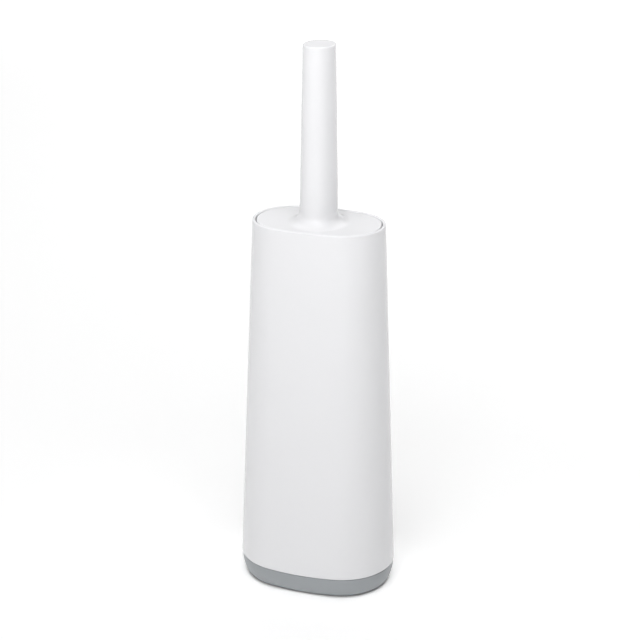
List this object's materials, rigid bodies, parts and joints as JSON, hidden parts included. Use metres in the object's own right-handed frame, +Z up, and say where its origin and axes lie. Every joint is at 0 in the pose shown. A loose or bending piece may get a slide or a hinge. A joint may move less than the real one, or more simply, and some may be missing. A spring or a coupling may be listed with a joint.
{
  "type": "toilet brush holder",
  "caption": "Toilet brush with a flat paddle head, hanging by its own lid in a tall tapered oval holder on a removable grey base tray.",
  "frame": {"origin": "on the floor, under the middle of the oval holder", "axes": "+Z up along the handle, +X to the right along the oval's long way, -Y out of the wide front face"},
  "size_m": [0.1238, 0.0878, 0.43],
  "materials": {
    "white_plastic": "satin gloss moulded",
    "grey_plastic": "satin moulded",
    "soft_rubber": "matte",
    "soft_head": "matte",
    "steel": "plain zinc plated"
  },
  "bodies": {
    "base": {"base_tray": "grey_plastic", "non_slip_ring": "soft_rubber"},
    "shell": {"outer_shell": "white_plastic"},
    "brush": {"handle": "white_plastic", "lid_underplate": "grey_plastic", "underplate_screws": "steel", "stem": "grey_plastic", "stem_pin": "steel", "head_plug": "grey_plastic", "head_collar": "grey_plastic"},
    "head": {"flex_neck": "soft_head", "head_spine": "grey_plastic", "head_pad": "soft_head", "bristles_front": "soft_head", "bristles_back": "soft_head", "bristles_edge": "soft_head"}
  },
  "joints": [
    {"name": "shell_lift", "type": "slide", "parent": "base", "child": "shell", "axis": [0, 0, 1], "range_m": [0, 0.06]},
    {"name": "brush_lift", "type": "slide", "parent": "shell", "child": "brush", "axis": [0, 0, 1], "range_m": [0, 0.3]},
    {"name": "head_flex", "type": "hinge", "parent": "brush", "child": "head", "pos_m": [0, 0, 0.115], "axis": [1, 0, 0], "range_deg": [-9, 9], "stiffness_Nm_per_rad": 0.8, "deforming": ["flex_neck"]}
  ]
}
